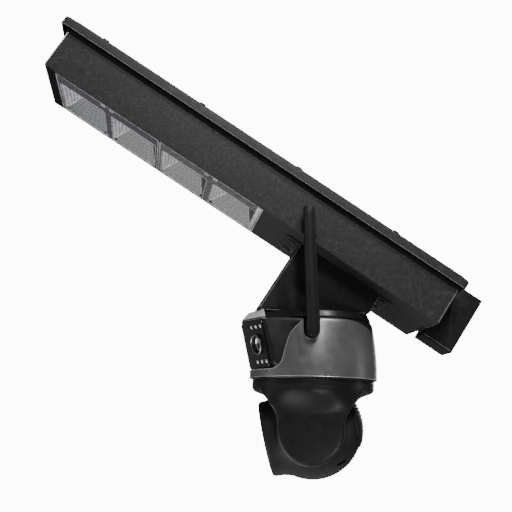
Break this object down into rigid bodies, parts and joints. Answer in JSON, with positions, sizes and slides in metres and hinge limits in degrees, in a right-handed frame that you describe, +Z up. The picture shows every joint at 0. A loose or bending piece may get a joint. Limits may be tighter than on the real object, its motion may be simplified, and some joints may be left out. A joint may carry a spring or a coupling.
{
  "type": "floodlight security camera",
  "caption": "Sloping slim LED floodlight with a solar lid, carrying a pan-and-tilt security camera on a wedge, with a fixed twin-lens block and a paddle aerial.",
  "frame": {"origin": "middle of the end bracket's mounting face", "axes": "+Z up, +X level towards the wall or pole that holds the bracket, +Y across the lamp"},
  "size_m": [0.4457, 0.1382, 0.436],
  "materials": {
    "painted_sheet": "fine-grained black powder coat",
    "gasket_rubber": "matt black rubber",
    "solar_cells": "dark laminated solar cells under a clear sheet",
    "clear_optic": "clear moulded optic with facets",
    "led_phosphor": "yellow phosphor",
    "white_board": "white solder mask",
    "green_board": "green solder mask",
    "aluminium_plate": "plain rolled",
    "battery_wrap": "blue shrink wrap",
    "black_plastic": "satin black moulding",
    "grey_shell": "satin dark grey metallic moulding",
    "smoked_panel": "glossy smoked window",
    "lens_glass": "coated lens glass",
    "steel": "zinc-plated or plain steel",
    "acetal": "natural acetal"
  },
  "bodies": {
    "housing": {"adapter_screw_1": "steel", "adapter_screw_2": "steel", "adapter_screw_3": "steel", "adapter_screw_4": "steel", "battery_cell_1": "battery_wrap", "battery_cell_2": "battery_wrap", "battery_cell_3": "battery_wrap", "battery_cell_4": "battery_wrap", "battery_cradle": "black_plastic", "bracket_screw_1": "steel", "bracket_screw_2": "steel", "bracket_screw_3": "steel", "bracket_screw_4": "steel", "cable_gland": "gasket_rubber", "charge_board": "green_board", "end_bracket": "painted_sheet", "face_plate_far": "smoked_panel", "face_plate_near": "smoked_panel", "front_shell": "grey_shell", "heat_spreader": "aluminium_plate", "inner_housing": "black_plastic", "lamp_housing": "painted_sheet", "lamp_lid": "painted_sheet", "led_board_1": "white_board", "led_board_2": "white_board", "led_chip_1": "led_phosphor", "led_chip_2": "led_phosphor", "led_chip_3": "led_phosphor", "led_chip_4": "led_phosphor", "led_optic_1": "clear_optic", "led_optic_2": "clear_optic", "lens_barrel_far": "black_plastic", "lens_barrel_near": "black_plastic", "lens_block": "black_plastic", "lens_glass_far": "lens_glass", "lens_glass_near": "lens_glass", "lens_visor": "black_plastic", "lid_gasket": "gasket_rubber", "main_board": "green_board", "pan_motor": "steel", "rear_cover": "black_plastic", "seat_cap": "black_plastic", "solar_panel": "solar_cells", "wedge_adapter": "painted_sheet"},
    "pan_head": {"yoke": "black_plastic", "pan_gear": "acetal", "arm_cover_near": "black_plastic", "arm_cover_far": "black_plastic", "tilt_motor": "steel"},
    "tilt_head": {"head_front": "black_plastic", "head_rear": "black_plastic", "head_bezel": "smoked_panel", "head_lens_barrel": "black_plastic", "head_lens_glass": "lens_glass", "speaker_cover": "black_plastic", "tilt_pin_near": "steel", "tilt_pin_far": "steel"},
    "pinion": {"pan_pinion": "acetal"},
    "aerial_arm": {"aerial": "black_plastic"}
  },
  "joints": [
    {"name": "pan", "type": "hinge", "parent": "housing", "child": "pan_head", "pos_m": [-0.1533, 0, -0.0571], "axis": [0, 0, 1], "range_deg": [-170, 170]},
    {"name": "tilt", "type": "hinge", "parent": "pan_head", "child": "tilt_head", "pos_m": [-0.1533, 0, -0.1052], "axis": [0.1908, 0.9816, 0], "range_deg": [-75, 2]},
    {"name": "pinion_spin", "type": "hinge", "parent": "housing", "child": "pinion", "pos_m": [-0.1245, 0, -0.0412], "axis": [0, 0, 1], "range_deg": [-860, 860]},
    {"name": "aerial_swing", "type": "hinge", "parent": "housing", "child": "aerial_arm", "pos_m": [-0.1653, -0.0695, -0.0137], "axis": [0, 1, 0], "range_deg": [-86.5, 93.5]}
  ],
  "couplings": [
    {"joint": "pinion_spin", "follows": "pan", "ratio": -5}
  ]
}
